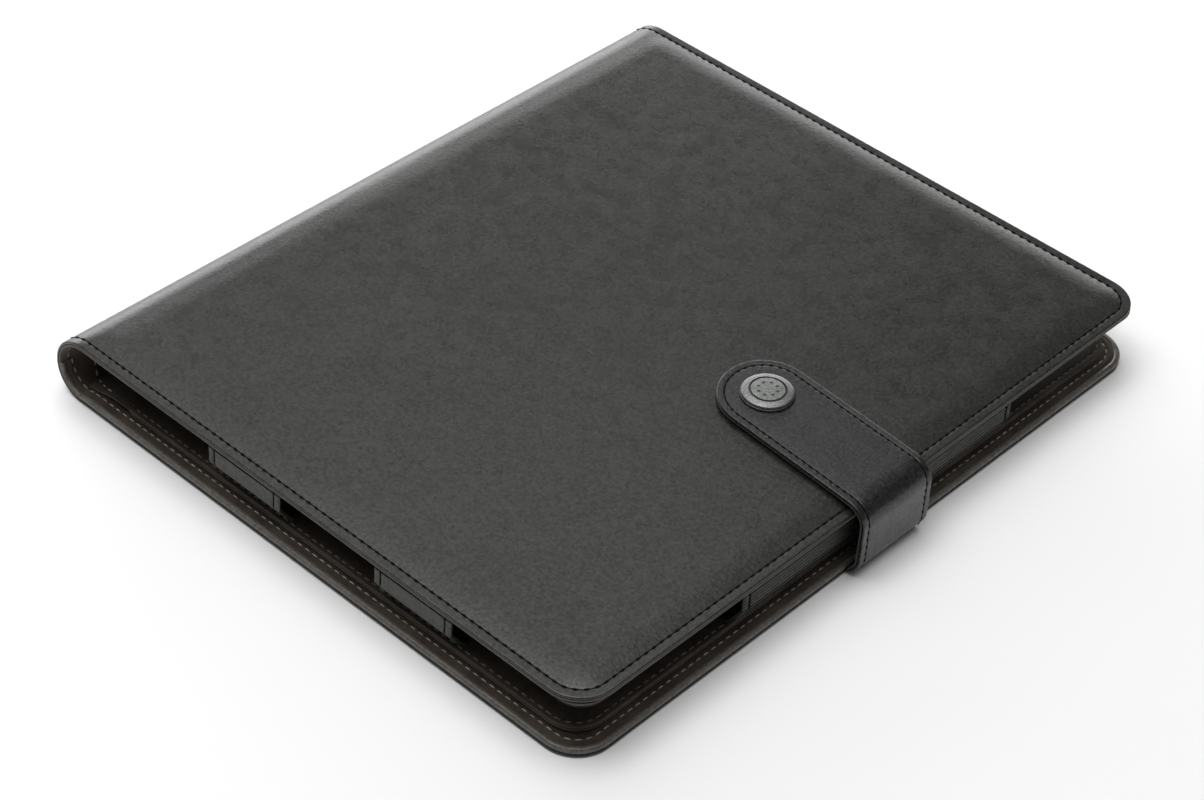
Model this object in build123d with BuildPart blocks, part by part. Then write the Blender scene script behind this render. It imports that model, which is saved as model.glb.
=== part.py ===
from build123d import *
import os
from math import atan2, cos, radians, sin, tan

os.makedirs("parts", exist_ok=True)

# Tablet case: a book-style leather folio with a strap and snap.
# Frame: +X from the spine to the strap side, +Y along the spine, +Z up.
# The origin is on the table, under the middle of the tablet pocket.

# ---- tablet the pocket is made for ----
tablet_width = 189.7
tablet_length = 242.8
tablet_thickness = 13.4

# ---- covers ----
cover_edge_x = 97.0
cover_length = 247.6
cover_corner_radius = 12.0
seam_margin = 7.0
board_corner_radius = 6.0
edge_round = 0.45

# ---- spine, outer outline from the back cover up to the front cover ----
spine_fold_x = -106.7
spine_lower_run = 5.84
spine_middle_run = 5.0
spine_back_run = 8.0
spine_turn = 30.0
spine_outer_thickness = 1.0
spine_lining_thickness = 0.9
panel_gap = 0.1

# ---- heights above the table ----
back_rim_top = 1.4
back_board_bottom = 1.0
back_board_top = 2.0
back_lining_top = 2.7
page_bottom = 3.6
page_top = 5.6
page_skin = 0.5
pocket_floor = 5.8
tablet_slack = 0.1
frame_thickness = 1.0
frame_gap = 0.3
frame_bottom = pocket_floor + tablet_thickness + tablet_slack
frame_lining = 0.3
frame_card = 0.3
frame_top = frame_bottom + frame_thickness
front_bottom = frame_top + frame_gap
front_lining_thickness = 0.6
front_lining_top = front_bottom + front_lining_thickness
front_rim_top = 22.5
front_pad_top = 23.3
front_board = 0.8
front_skin = 0.4

# ---- page that carries the tablet ----
page_min_x = -95.0
page_max_x = 92.0
page_length = 238.4
page_corner_radius = 10.0
page_board_margin = 4.0

# ---- retaining frame and tabs ----
frame_min_x = -96.0
frame_max_x = 96.1
frame_length = 245.4
frame_corner_radius = 8.0
window_width = 160.0
window_length = 206.0
window_corner_radius = 3.0
tab_clearance = 0.3
tab_thickness = 0.9
short_tab_width = 29.5
short_tab_offset = 33.7
long_tab_width = 118.0
tab_lean_height = 7.4
tab_foot_height = 0.85
tab_foot_width = 3.0
short_tab_foot_y = 117.3
long_tab_foot_x = 91.5

# ---- strap ----
strap_width = 30.0
strap_y = -0.5
strap_skew = 4.0
strap_outer_x = 101.6
strap_thickness = 1.7
strap_outer_skin = 1.0
strap_top_skin = 1.2
strap_tail_start = 57.0
strap_tail_thickness = 0.6
strap_tail_clearance = 0.1
strap_floor_x = 98.2
strap_inner_floor_x = 97.8
strap_lower_hinge_z = 4.0
strap_upper_hinge_z = 20.6
strap_shoulder_x = 96.6
strap_top_z = 25.6
strap_underside = 23.7
strap_card = 0.5

# ---- snap ----
snap_x = 49.5
cap_radius = 7.75
cap_height = 2.2
cap_rim_radius = 8.1
cap_rim_height = 0.6
stud_radius = 2.3
stud_top = 24.4
stud_flange_radius = 4.0
stud_flange_thickness = 0.25
rivet_radius = 1.5
rivet_flange_radius = 4.5
rivet_flange_thickness = 0.3
socket_outer_radius = 5.0
socket_bore_radius = 2.7
socket_roof = 0.35

snap_y = strap_y + (strap_shoulder_x - snap_x) * tan(radians(strap_skew))


def export(builder, name):
    """Label a finished piece and write it to its own file."""
    builder.part.label = name
    export_step(builder.part, f"parts/{name}.step")


def leaf(x_min, x_max, length, radius, height):
    """Flat leaf outline at a height, square at the spine and rounded at the free edge."""
    with BuildSketch(Plane.XY.offset(height)) as outline:
        with Locations(((x_min + x_max) / 2, 0)):
            Rectangle(x_max - x_min, length)
        fillet(outline.vertices().group_by(Axis.X)[-1], radius=radius)
    return outline.sketch


def cover(inset, radius, height):
    """Cover outline at a height, drawn in from the free edges by an inset."""
    x_min = spine_fold_x + (inset if inset else 0)
    return leaf(x_min, cover_edge_x - inset, cover_length - 2 * inset, radius, height)


def strap_plan(inset, height):
    """Top run of the strap: straight sides, round end about the snap, slightly off square."""
    half = strap_width / 2 - inset
    with BuildSketch(Plane.XY.offset(height)) as outline:
        with BuildLine():
            Polyline(
                (strap_shoulder_x, strap_y + half),
                (strap_shoulder_x, strap_y - half),
                (snap_x - half * sin(radians(strap_skew)), snap_y - half),
                (snap_x - half * sin(radians(strap_skew)), snap_y + half),
                close=True,
            )
        make_face()
        with Locations((snap_x, snap_y)):
            Circle(half)
    return outline.sketch


# ---- back cover ----

with BuildPart() as back_outer:
    extrude(cover(0, cover_corner_radius, 0), amount=back_rim_top)
    fillet(back_outer.faces().sort_by(Axis.Z)[0].edges().sort_by(Axis.X)[1:], radius=edge_round)
    extrude(
        cover(seam_margin, board_corner_radius, back_board_bottom),
        amount=back_rim_top - back_board_bottom,
        mode=Mode.SUBTRACT,
    )
    with BuildSketch():
        with Locations(((strap_tail_start + cover_edge_x) / 2, strap_y)):
            Rectangle(
                cover_edge_x - strap_tail_start + 2 * strap_tail_clearance,
                strap_width + 2 * strap_tail_clearance,
            )
    extrude(amount=strap_tail_thickness, mode=Mode.SUBTRACT)
export(back_outer, "back_outer")

with BuildPart() as back_board:
    extrude(
        cover(seam_margin, board_corner_radius, back_board_bottom),
        amount=back_board_top - back_board_bottom,
    )
export(back_board, "back_board")

with BuildPart() as back_lining:
    extrude(cover(0, cover_corner_radius, back_rim_top), amount=back_lining_top - back_rim_top)
    fillet(back_lining.faces().sort_by(Axis.Z)[-1].edges().sort_by(Axis.X)[1:], radius=edge_round)
    extrude(
        cover(seam_margin, board_corner_radius, back_rim_top),
        amount=back_board_top - back_rim_top,
        mode=Mode.SUBTRACT,
    )
export(back_lining, "back_lining")

# ---- page: a stiff leaf under the tablet ----

page_middle = (page_bottom + page_top) / 2
page_board_half = page_middle - page_bottom - page_skin

with BuildPart() as page_skin_part:
    extrude(
        leaf(page_min_x, page_max_x, page_length, page_corner_radius, page_bottom),
        amount=page_middle - page_bottom,
    )
    extrude(
        leaf(
            page_min_x + page_board_margin,
            page_max_x - page_board_margin,
            page_length - 2 * page_board_margin,
            board_corner_radius,
            page_bottom + page_skin,
        ),
        amount=page_board_half,
        mode=Mode.SUBTRACT,
    )
export(page_skin_part, "page_skin")

with BuildPart() as page_board:
    extrude(
        leaf(
            page_min_x + page_board_margin,
            page_max_x - page_board_margin,
            page_length - 2 * page_board_margin,
            board_corner_radius,
            page_bottom + page_skin,
        ),
        amount=2 * page_board_half,
    )
export(page_board, "page_board")

with BuildPart() as page_lining:
    extrude(
        leaf(page_min_x, page_max_x, page_length, page_corner_radius, page_middle),
        amount=page_top - page_middle,
    )
    extrude(
        leaf(
            page_min_x + page_board_margin,
            page_max_x - page_board_margin,
            page_length - 2 * page_board_margin,
            board_corner_radius,
            page_middle,
        ),
        amount=page_board_half,
        mode=Mode.SUBTRACT,
    )
export(page_lining, "page_lining")

# The page hangs from a leaf that comes down to the back cover at the fold.
leaf_seat_x = -101.0
leaf_end_x = -105.6
leaf_thickness = 0.8
leaf_top = page_middle + leaf_thickness / 2

with BuildPart() as page_leaf:
    with BuildSketch(Plane.XZ):
        with BuildLine():
            Spline(
                (page_min_x, leaf_top),
                (leaf_seat_x, back_lining_top + leaf_thickness),
                tangents=((-1, 0), (-1, 0)),
            )
            Line(
                (leaf_seat_x, back_lining_top + leaf_thickness),
                (leaf_end_x, back_lining_top + leaf_thickness),
            )
            Line((leaf_end_x, back_lining_top + leaf_thickness), (leaf_end_x, back_lining_top))
            Line((leaf_end_x, back_lining_top), (leaf_seat_x, back_lining_top))
            Spline(
                (leaf_seat_x, back_lining_top),
                (page_min_x, leaf_top - leaf_thickness),
                tangents=((1, 0), (1, 0)),
            )
            Line((page_min_x, leaf_top - leaf_thickness), (page_min_x, leaf_top))
        make_face()
    extrude(amount=page_length / 2, both=True)
export(page_leaf, "page_leaf")

# ---- frame over the tablet's front edge ----

frame_card_bottom = frame_bottom + frame_lining

with BuildPart() as frame_lining_part:
    extrude(
        leaf(frame_min_x, frame_max_x, frame_length, frame_corner_radius, frame_bottom),
        amount=frame_lining,
    )
    with BuildSketch(Plane.XY.offset(frame_bottom)):
        RectangleRounded(window_width, window_length, window_corner_radius)
    extrude(amount=frame_lining, mode=Mode.SUBTRACT)
export(frame_lining_part, "frame_lining")

card_margin = 1.5

with BuildPart() as frame_card_part:
    extrude(
        leaf(
            frame_min_x + card_margin,
            frame_max_x - card_margin,
            frame_length - 2 * card_margin,
            frame_corner_radius - card_margin,
            frame_card_bottom,
        ),
        amount=frame_card,
    )
    with BuildSketch(Plane.XY.offset(frame_card_bottom)):
        RectangleRounded(
            window_width + 2 * card_margin,
            window_length + 2 * card_margin,
            window_corner_radius + card_margin,
        )
    extrude(amount=frame_card, mode=Mode.SUBTRACT)
export(frame_card_part, "frame_card")

with BuildPart() as frame_leather:
    extrude(
        leaf(frame_min_x, frame_max_x, frame_length, frame_corner_radius, frame_card_bottom),
        amount=frame_top - frame_card_bottom,
    )
    with BuildSketch(Plane.XY.offset(frame_card_bottom)):
        RectangleRounded(window_width, window_length, window_corner_radius)
    extrude(amount=frame_top - frame_card_bottom, mode=Mode.SUBTRACT)
    add(frame_card_part.part, mode=Mode.SUBTRACT)
export(frame_leather, "frame_leather")

# ---- tabs that join the page to the frame and keep the tablet in ----


def tab_section(inner, foot_edge):
    """Corner points of a tab seen from its end.

    An upright wall beside the tablet leans in under its curved back, to a foot on the page.
    """
    outer = inner + tab_thickness
    lean_top = page_top + tab_lean_height
    lean = atan2(outer - foot_edge, tab_lean_height)
    foot_top = page_top + tab_foot_height
    heel = foot_edge + tab_foot_height * tan(lean) - tab_thickness / cos(lean)
    return [
        (inner, frame_bottom),
        (outer, frame_bottom),
        (outer, lean_top),
        (foot_edge, page_top),
        (foot_edge - tab_foot_width, page_top),
        (foot_edge - tab_foot_width, foot_top),
        (heel, foot_top),
        (inner, lean_top + tab_thickness * tan(lean / 2)),
    ]


tab_side_inner = tablet_length / 2 + tab_clearance

for side_name, side in (("near", -1), ("far", 1)):
    for tab_name, tab_x in (("spine", -short_tab_offset), ("strap", short_tab_offset)):
        with BuildPart() as short_tab:
            with BuildSketch(Plane.YZ.offset(tab_x)):
                with BuildLine():
                    Polyline(
                        *[(side * y, z) for y, z in tab_section(tab_side_inner, short_tab_foot_y)],
                        close=True,
                    )
                make_face()
            extrude(amount=short_tab_width / 2, both=True)
        export(short_tab, f"tab_{side_name}_{tab_name}")

with BuildPart() as long_tab:
    with BuildSketch(Plane.XZ):
        with BuildLine():
            Polyline(*tab_section(tablet_width / 2 + tab_clearance, long_tab_foot_x), close=True)
        make_face()
    extrude(amount=long_tab_width / 2, both=True)
export(long_tab, "tab_long_side")

# ---- spine: one strip of leather and lining, in panels so it can unroll ----

spine_runs = [spine_lower_run, spine_middle_run, spine_back_run, spine_middle_run, spine_lower_run]
spine_points = [(spine_fold_x, 0.0)]
heading = 180.0
for run in spine_runs:
    heading -= spine_turn
    last_x, last_z = spine_points[-1]
    spine_points.append(
        (last_x + run * cos(radians(heading)), last_z + run * sin(radians(heading)))
    )


def spine_corner(point_index, depth, side):
    """Corner of a spine panel at a fold, at a depth under the outer face."""
    x, z = spine_points[point_index]
    heading_before = 180.0 - spine_turn * point_index
    is_end = point_index in (0, len(spine_runs))
    if is_end:
        run_heading = heading_before - spine_turn if point_index == 0 else heading_before
        along = abs(tan(radians(run_heading)))
        rise = depth / abs(cos(radians(run_heading)))
        sign = 1 if point_index == 0 else -1
        shift = panel_gap
        return (x - shift, z + sign * (rise + shift * along))
    bisector = radians(heading_before - spine_turn / 2 - 90.0)
    reach = depth / cos(radians(spine_turn / 2))
    run_heading = radians(heading_before if side > 0 else heading_before - spine_turn)
    back_off = -side * panel_gap / 2
    return (
        x + reach * cos(bisector) + back_off * cos(run_heading),
        z + reach * sin(bisector) + back_off * sin(run_heading),
    )


for panel in range(len(spine_runs)):
    layers = (
        ("spine_outer", 0.0, spine_outer_thickness),
        ("spine_lining", spine_outer_thickness, spine_outer_thickness + spine_lining_thickness),
    )
    for layer_name, outer_depth, inner_depth in layers:
        with BuildPart() as spine_panel:
            with BuildSketch(Plane.XZ):
                with BuildLine():
                    Polyline(
                        spine_corner(panel, outer_depth, -1),
                        spine_corner(panel + 1, outer_depth, 1),
                        spine_corner(panel + 1, inner_depth, 1),
                        spine_corner(panel, inner_depth, -1),
                        close=True,
                    )
                make_face()
            extrude(amount=cover_length / 2, both=True)
        export(spine_panel, f"{layer_name}_{panel + 1}")

# ---- front cover ----

pad_margin = 6.0
pad_slope = 60.0
foam_margin = 9.0
front_board_top = front_lining_top + front_board
foam_top = front_pad_top - front_skin

with BuildPart() as front_lining:
    extrude(
        cover(0, cover_corner_radius, front_bottom),
        amount=front_lining_top - front_bottom,
    )
export(front_lining, "front_lining")

with BuildPart() as front_board_part:
    extrude(cover(seam_margin, board_corner_radius, front_lining_top), amount=front_board)
    with BuildSketch(Plane.XY.offset(front_lining_top)):
        with Locations((snap_x, snap_y)):
            Circle(rivet_flange_radius)
    extrude(amount=rivet_flange_thickness, mode=Mode.SUBTRACT)
    with BuildSketch(Plane.XY.offset(front_lining_top)):
        with Locations((snap_x, snap_y)):
            Circle(rivet_radius)
    extrude(amount=front_board, mode=Mode.SUBTRACT)
export(front_board_part, "front_board")

with BuildPart() as front_foam:
    extrude(cover(foam_margin, board_corner_radius, front_board_top), amount=foam_top - front_board_top)
    with BuildSketch(Plane.XY.offset(front_board_top)):
        with Locations((snap_x, snap_y)):
            Circle(rivet_radius)
    extrude(amount=foam_top - front_board_top, mode=Mode.SUBTRACT)
export(front_foam, "front_foam")

with BuildPart() as front_outer:
    extrude(
        cover(0, cover_corner_radius, front_lining_top),
        amount=front_rim_top - front_lining_top,
    )
    fillet(front_outer.faces().sort_by(Axis.Z)[-1].edges().sort_by(Axis.X)[1:], radius=edge_round)
    extrude(
        cover(pad_margin, board_corner_radius, front_rim_top),
        amount=front_pad_top - front_rim_top,
        taper=pad_slope,
    )
    extrude(
        cover(seam_margin, board_corner_radius, front_lining_top),
        amount=front_board,
        mode=Mode.SUBTRACT,
    )
    extrude(
        cover(foam_margin, board_corner_radius, front_board_top),
        amount=foam_top - front_board_top,
        mode=Mode.SUBTRACT,
    )
    with BuildSketch(Plane.XY.offset(foam_top)):
        with Locations((snap_x, snap_y)):
            Circle(rivet_radius)
    extrude(amount=front_skin, mode=Mode.SUBTRACT)
export(front_outer, "front_outer")

# ---- snap half on the front cover ----

stud_flange_top = front_pad_top + stud_flange_thickness

with BuildPart() as snap_rivet:
    with BuildSketch(Plane.XY.offset(front_lining_top)):
        with Locations((snap_x, snap_y)):
            Circle(rivet_flange_radius)
    extrude(amount=rivet_flange_thickness)
    with BuildSketch(Plane.XY.offset(front_lining_top)):
        with Locations((snap_x, snap_y)):
            Circle(rivet_radius)
    extrude(amount=front_pad_top - front_lining_top)
export(snap_rivet, "snap_rivet")

with BuildPart() as snap_stud:
    with BuildSketch(Plane.XY.offset(front_pad_top)):
        with Locations((snap_x, snap_y)):
            Circle(stud_flange_radius)
    extrude(amount=stud_flange_top - front_pad_top)
    with BuildSketch(Plane.XY.offset(stud_flange_top)):
        with Locations((snap_x, snap_y)):
            Circle(stud_radius)
    extrude(amount=stud_top - stud_flange_top)
    fillet(snap_stud.faces().sort_by(Axis.Z)[-1].edges(), radius=edge_round)
export(snap_stud, "snap_stud")

# ---- strap: tail let into the back cover's underside ----

strap_inner_x = strap_outer_x - strap_thickness

with BuildPart() as strap_tail:
    with BuildSketch(Plane.XZ.offset(-strap_y)):
        with BuildLine():
            Polyline(
                (strap_tail_start, 0),
                (strap_floor_x, 0),
                (strap_outer_x, strap_lower_hinge_z),
                (strap_inner_x, strap_lower_hinge_z),
                (strap_inner_floor_x, strap_tail_thickness),
                (strap_tail_start, strap_tail_thickness),
                close=True,
            )
        make_face()
    extrude(amount=strap_width / 2, both=True)
export(strap_tail, "strap_tail")

# ---- strap: run up the long side ----

side_bottom = strap_lower_hinge_z + panel_gap
side_top = strap_upper_hinge_z - panel_gap
strap_skin_x = strap_outer_x - strap_outer_skin

for layer_name, layer_min_x, layer_max_x in (
    ("strap_side_outer", strap_skin_x, strap_outer_x),
    ("strap_side_lining", strap_inner_x, strap_skin_x),
):
    with BuildPart() as strap_side:
        with BuildSketch(Plane.XY.offset(side_bottom)):
            with Locations(((layer_min_x + layer_max_x) / 2, strap_y)):
                Rectangle(layer_max_x - layer_min_x, strap_width)
        extrude(amount=side_top - side_bottom)
    export(strap_side, layer_name)

# ---- strap: shoulder and top run, with the snap ----

strap_skin_bottom = strap_top_z - strap_top_skin
shoulder_bottom = strap_upper_hinge_z + panel_gap
card_inset = 5.0
strap_card_bottom = strap_skin_bottom

with BuildPart() as strap_top_outer:
    with BuildSketch(Plane.XZ.offset(-strap_y)):
        with BuildLine():
            Polyline(
                (strap_outer_x, shoulder_bottom),
                (strap_shoulder_x, strap_top_z),
                (strap_shoulder_x, strap_skin_bottom),
                (strap_skin_x, shoulder_bottom),
                close=True,
            )
        make_face()
    extrude(amount=strap_width / 2, both=True)
    extrude(strap_plan(0, strap_skin_bottom), amount=strap_top_z - strap_skin_bottom)
    extrude(strap_plan(card_inset, strap_card_bottom), amount=strap_card, mode=Mode.SUBTRACT)
    with BuildSketch(Plane.XY.offset(strap_card_bottom)):
        with Locations((snap_x, snap_y)):
            Circle(rivet_radius)
    extrude(amount=strap_top_z - strap_card_bottom, mode=Mode.SUBTRACT)
export(strap_top_outer, "strap_top_outer")

with BuildPart() as strap_top_card:
    extrude(strap_plan(card_inset, strap_card_bottom), amount=strap_card)
    with BuildSketch(Plane.XY.offset(strap_card_bottom)):
        with Locations((snap_x, snap_y)):
            Circle(socket_outer_radius)
    extrude(amount=strap_card, mode=Mode.SUBTRACT)
export(strap_top_card, "strap_top_card")

with BuildPart() as strap_top_lining:
    with BuildSketch(Plane.XZ.offset(-strap_y)):
        with BuildLine():
            Polyline(
                (strap_skin_x, shoulder_bottom),
                (strap_shoulder_x, strap_skin_bottom),
                (strap_shoulder_x, strap_underside),
                (strap_inner_x, shoulder_bottom),
                close=True,
            )
        make_face()
    extrude(amount=strap_width / 2, both=True)
    extrude(strap_plan(0, strap_underside), amount=strap_skin_bottom - strap_underside)
    with BuildSketch(Plane.XY.offset(strap_underside)):
        with Locations((snap_x, snap_y)):
            Circle(socket_outer_radius)
    extrude(amount=strap_skin_bottom - strap_underside, mode=Mode.SUBTRACT)
export(strap_top_lining, "strap_top_lining")

socket_top = strap_card_bottom + strap_card

with BuildPart() as snap_socket:
    with BuildSketch(Plane.XY.offset(strap_underside)):
        with Locations((snap_x, snap_y)):
            Circle(socket_outer_radius)
    extrude(amount=socket_top - strap_underside)
    with BuildSketch(Plane.XY.offset(strap_underside)):
        with Locations((snap_x, snap_y)):
            Circle(socket_bore_radius)
    extrude(amount=socket_top - socket_roof - strap_underside, mode=Mode.SUBTRACT)
export(snap_socket, "snap_socket")

with BuildPart() as cap_rim:
    with BuildSketch(Plane.XY.offset(strap_top_z)):
        with Locations((snap_x, snap_y)):
            Circle(cap_rim_radius)
            Circle(rivet_radius, mode=Mode.SUBTRACT)
    extrude(amount=cap_rim_height)
export(cap_rim, "cap_rim")

engraving_depth = 0.25
engraved_ring_radius = 5.2
engraved_ring_width = 0.5
engraved_dot_count = 8
engraved_dot_radius = 0.5
engraved_dot_circle = 3.1
cap_top = strap_top_z + cap_height

with BuildPart() as snap_cap:
    with BuildSketch(Plane.XY.offset(strap_top_z + cap_rim_height)):
        with Locations((snap_x, snap_y)):
            Circle(cap_radius)
    extrude(amount=cap_height - cap_rim_height)
    fillet(snap_cap.faces().sort_by(Axis.Z)[-1].edges(), radius=edge_round)
    with BuildSketch(Plane.XY.offset(socket_top)):
        with Locations((snap_x, snap_y)):
            Circle(rivet_radius)
    extrude(amount=strap_top_z + cap_rim_height - socket_top)
    with BuildSketch(Plane.XY.offset(cap_top - engraving_depth)):
        with Locations((snap_x, snap_y)):
            Circle(engraved_ring_radius)
            Circle(engraved_ring_radius - engraved_ring_width, mode=Mode.SUBTRACT)
            with PolarLocations(engraved_dot_circle, engraved_dot_count):
                Circle(engraved_dot_radius)
    extrude(amount=engraving_depth, mode=Mode.SUBTRACT)
export(snap_cap, "snap_cap")
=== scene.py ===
import math

import bpy
import numpy as np
from mathutils import Matrix, Vector, noise


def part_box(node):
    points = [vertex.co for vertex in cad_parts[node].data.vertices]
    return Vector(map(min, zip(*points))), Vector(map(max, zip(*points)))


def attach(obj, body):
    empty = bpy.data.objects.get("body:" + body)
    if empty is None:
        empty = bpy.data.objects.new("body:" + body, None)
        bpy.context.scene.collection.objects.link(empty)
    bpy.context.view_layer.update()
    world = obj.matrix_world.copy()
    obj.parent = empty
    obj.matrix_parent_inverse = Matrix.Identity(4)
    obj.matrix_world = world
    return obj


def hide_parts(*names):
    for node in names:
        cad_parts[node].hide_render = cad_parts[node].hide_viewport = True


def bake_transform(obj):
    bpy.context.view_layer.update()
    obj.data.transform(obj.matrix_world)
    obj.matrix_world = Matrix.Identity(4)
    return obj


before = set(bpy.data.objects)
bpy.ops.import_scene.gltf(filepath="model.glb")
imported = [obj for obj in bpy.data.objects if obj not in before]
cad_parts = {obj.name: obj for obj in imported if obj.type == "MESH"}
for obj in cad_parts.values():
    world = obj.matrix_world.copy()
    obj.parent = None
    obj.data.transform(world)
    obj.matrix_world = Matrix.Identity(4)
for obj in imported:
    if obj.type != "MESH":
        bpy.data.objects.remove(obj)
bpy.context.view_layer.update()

MM = 0.001

# ---- sizes, from the frame ----

back_low, back_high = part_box("back_outer")
front_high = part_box("front_outer")[1]
lining_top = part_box("back_lining")[1].z
front_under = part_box("front_lining")[0].z
spine_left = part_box("spine_outer_3")[0].x
strap_low, strap_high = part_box("strap_side_outer")
strap_run_low, strap_run_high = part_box("strap_top_outer")
strap_card_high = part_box("strap_top_card")[1]
tail_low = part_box("strap_tail")[0]
cap_low, cap_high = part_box("snap_cap")
rim_low, rim_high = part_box("cap_rim")
page_low, page_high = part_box("page_lining")
page_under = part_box("page_skin")[0].z
leaf_low, leaf_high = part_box("page_leaf")
frame_low, frame_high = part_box("frame_leather")
frame_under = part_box("frame_lining")[0].z

FOLD_X = back_low.x
EDGE_X = back_high.x
HALF_LENGTH = back_high.y
PAD_RISE = 0.8 * MM
RIM_TOP = front_high.z - PAD_RISE
CORNER = 12 * MM
CAP_X = (cap_low.x + cap_high.x) / 2
CAP_Y = (cap_low.y + cap_high.y) / 2
STRAP_Y = (strap_low.y + strap_high.y) / 2
STRAP_HALF = (strap_high.y - strap_low.y) / 2
STRAP_X = strap_high.x
STRAP_TOP = strap_run_high.z

BACK_THICK = lining_top
SPINE_THICK = 1.9 * MM
FRONT_THICK = RIM_TOP - front_under
PAGE_CORNER = 10 * MM
FRAME_CORNER = 8 * MM
WINDOW_CORNER = 4 * MM
WINDOW_X = 80 * MM
WINDOW_Y = 103 * MM

# ---- small helpers ----


def smooth(t):
    """Smoothstep from 0 to 1."""
    t = min(1.0, max(0.0, t))
    return t * t * (3 - 2 * t)


def past(value, start, length):
    """From 0 to 1 over a length, from a start on."""
    return smooth((value - start) / length)


def bell(x, centre, width):
    """Bump of height 1 about a centre."""
    return math.exp(-(((x - centre) / width) ** 2))


def wobble(x, y, size, seed):
    """Seeded gentle unevenness from -1 to 1, over a length scale."""
    return noise.noise(Vector((x / size, y / size, seed)))


def around(x, y, radius, turn, z):
    """Point of a level circle about (x, y)."""
    return Vector((x + radius * math.cos(turn), y + radius * math.sin(turn), z))


def direction(azimuth, elevation):
    """Unit vector from the case, by degrees round from -Y towards +X and degrees up."""
    az, el = math.radians(azimuth), math.radians(elevation)
    return Vector((math.sin(az) * math.cos(el), -math.cos(az) * math.cos(el), math.sin(el)))


def new_mesh(name, points, faces, materials, slots=None):
    """Mesh object with smooth shading, from points, faces and a material slot for each face."""
    mesh = bpy.data.meshes.new(name)
    mesh.from_pydata([tuple(p) for p in points], [], faces)
    for item in materials:
        mesh.materials.append(item)
    if slots is not None:
        mesh.polygons.foreach_set("material_index", slots)
    mesh.polygons.foreach_set("use_smooth", [True] * len(mesh.polygons))
    mesh.update()
    obj = bpy.data.objects.new(name, mesh)
    bpy.context.scene.collection.objects.link(obj)
    return obj


def point_outwards(obj):
    """Make every face of a closed mesh look outwards."""
    bpy.context.view_layer.objects.active = obj
    obj.select_set(True)
    bpy.ops.object.mode_set(mode="EDIT")
    bpy.ops.mesh.select_all(action="SELECT")
    bpy.ops.mesh.normals_make_consistent(inside=False)
    bpy.ops.object.mode_set(mode="OBJECT")
    obj.select_set(False)


# ---- materials ----


def set_inputs(node, values):
    """Set a node's inputs by name."""
    for socket, value in values.items():
        node.inputs[socket].default_value = value


def material(name, roughness, metallic=0.0, sheen=0.0, specular=0.5):
    """Material with its constants set, its shader, and a node for places on the piece."""
    item = bpy.data.materials.new(name)
    item.use_nodes = True
    shader = item.node_tree.nodes["Principled BSDF"]
    constants = {"Roughness": roughness, "Metallic": metallic, "Sheen Weight": sheen}
    set_inputs(shader, {**constants, "Specular IOR Level": specular})
    return item, shader, item.node_tree.nodes.new("ShaderNodeTexCoord")


def connect(source, output, target, socket):
    """Link an output of one node to an input of another, both by name."""
    source.id_data.links.new(source.outputs[output], target.inputs[socket])


def finished(item, shader, colour, relief):
    """The material, with its colour and its relief linked to the shader."""
    connect(colour, "Color", shader, "Base Color")
    connect(relief, "Normal", shader, "Normal")
    return item


def texture_noise(place, scale, detail, roughness=0.5):
    """Noise in object space, with its scale in cells per metre."""
    node = place.id_data.nodes.new("ShaderNodeTexNoise")
    set_inputs(node, {"Scale": scale, "Detail": detail, "Roughness": roughness})
    connect(place, "Object", node, "Vector")
    return node


def ramp(source, low, high, low_at=0.35, high_at=0.65, output="Fac"):
    """Colour ramp between two colours, from a node's output."""
    node = source.id_data.nodes.new("ShaderNodeValToRGB")
    for stop, place, colour in zip(node.color_ramp.elements, (low_at, high_at), (low, high)):
        stop.position = place
        stop.color = (*colour, 1)
    connect(source, output, node, "Fac")
    return node


def bump(height, distance, strength, before=None):
    """Bump from a node's height, stacked on an earlier one."""
    node = height.id_data.nodes.new("ShaderNodeBump")
    set_inputs(node, {"Distance": distance, "Strength": strength})
    connect(height, "Fac", node, "Height")
    if before is not None:
        connect(before, "Normal", node, "Normal")
    return node


def spread(source, low, high):
    """Map a node's value from 0..1 to a range."""
    node = source.id_data.nodes.new("ShaderNodeMapRange")
    set_inputs(node, {"To Min": low, "To Max": high})
    connect(source, "Fac", node, "Value")
    return node


def leather(name, dark, light, gloss, grain=0.5, shine=(0.22, 0.80)):
    """Coated leather: fine pebble, pores, slow colour and gloss variation.

    shine is the reflection level in the pores and on the pebbles.
    """
    item, shader, place = material(name, gloss)
    clouds = texture_noise(place, scale=28, detail=4, roughness=0.6)
    pebble = texture_noise(place, scale=1050, detail=3, roughness=0.6)
    mixed = item.node_tree.nodes.new("ShaderNodeMix")
    set_inputs(mixed, {"Factor": 0.75})
    connect(clouds, "Fac", mixed, "A")
    connect(pebble, "Fac", mixed, "B")
    colour = ramp(mixed, dark, light, output="Result")
    shine_map = spread(pebble, *shine)
    connect(shine_map, "Result", shader, "Specular IOR Level")
    handled = texture_noise(place, scale=160, detail=3)
    gloss_map = spread(handled, gloss - 0.07, gloss + 0.07)
    connect(gloss_map, "Result", shader, "Roughness")
    first = bump(pebble, 0.14 * MM, grain)
    pores = texture_noise(place, scale=1700, detail=1)
    second = bump(pores, 0.05 * MM, grain * 0.8, first)
    folds = texture_noise(place, scale=210, detail=2)
    third = bump(folds, 0.08 * MM, grain * 0.35, second)
    return finished(item, shader, colour, third)


def microfibre(name, dark, light):
    """Napped lining: soft mottling and a fine fibrous surface."""
    item, shader, place = material(name, 0.9, sheen=0.25, specular=0.2)
    nap = texture_noise(place, scale=90, detail=5, roughness=0.7)
    colour = ramp(nap, dark, light, 0.3, 0.7)
    fibre = texture_noise(place, scale=2600, detail=4, roughness=0.7)
    first = bump(fibre, 0.25 * MM, 0.5)
    return finished(item, shader, colour, first)


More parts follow.
